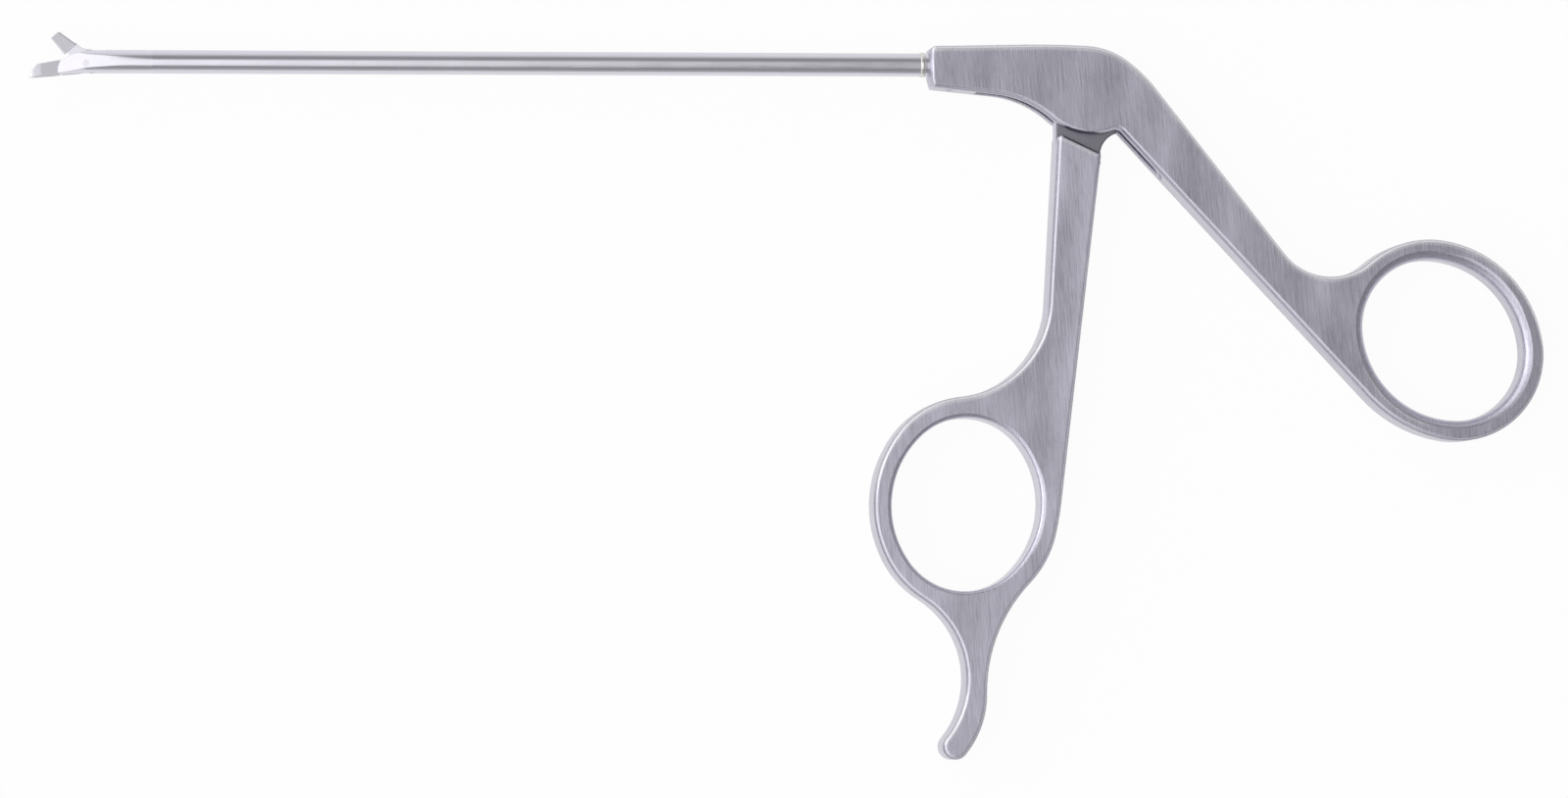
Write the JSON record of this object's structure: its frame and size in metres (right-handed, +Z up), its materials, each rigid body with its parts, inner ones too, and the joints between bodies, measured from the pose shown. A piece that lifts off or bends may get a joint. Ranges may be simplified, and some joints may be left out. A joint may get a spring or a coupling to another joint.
{
  "type": "punch forceps",
  "caption": "Ring-handled punch forceps: slim straight shaft, basket lower jaw, hinged upper jaw driven by a rod inside the tube.",
  "frame": {"origin": "on the axis of the handle pivot, at the flat face that the instrument lies on", "axes": "+X from the jaws to the thumb ring, along the shaft; +Y from the finger ring up to the shaft; +Z up, along the handle pivot"},
  "size_m": [0.2209, 0.1053, 0.006],
  "materials": {
    "handle_steel": "brushed",
    "shaft_steel": "polished",
    "jaw_steel": "satin",
    "pin_steel": "satin",
    "braze": "satin"
  },
  "bodies": {
    "fixed_frame": {"fixed_handle": "handle_steel", "shaft_tube": "shaft_steel", "braze_ring": "braze", "lower_jaw": "jaw_steel", "handle_pivot_pin": "handle_steel", "jaw_pivot_pin": "pin_steel", "nose_pin": "pin_steel"},
    "lever": {"moving_handle": "handle_steel", "link_pin": "pin_steel"},
    "rod": {"drive_rod": "pin_steel", "drive_link": "pin_steel", "rod_eye": "pin_steel", "drive_pin": "pin_steel"},
    "jaw": {"upper_jaw": "jaw_steel"}
  },
  "joints": [
    {"name": "handle_turn", "type": "hinge", "parent": "fixed_frame", "child": "lever", "pos_m": [0, 0, 0.003], "axis": [0, 0, 1], "range_deg": [0, 11.39]},
    {"name": "rod_slide", "type": "slide", "parent": "fixed_frame", "child": "rod", "axis": [-1, 0, 0], "range_m": [0, 0.00111]},
    {"name": "jaw_swing", "type": "hinge", "parent": "fixed_frame", "child": "jaw", "pos_m": [-0.1455, 0.0052, 0.003], "axis": [0, 0, 1], "range_deg": [0, 50]}
  ],
  "couplings": [
    {"joint": "rod_slide", "follows": "handle_turn", "m_per_rad": 0.0055808},
    {"joint": "jaw_swing", "follows": "handle_turn", "ratio": 4.3883}
  ]
}
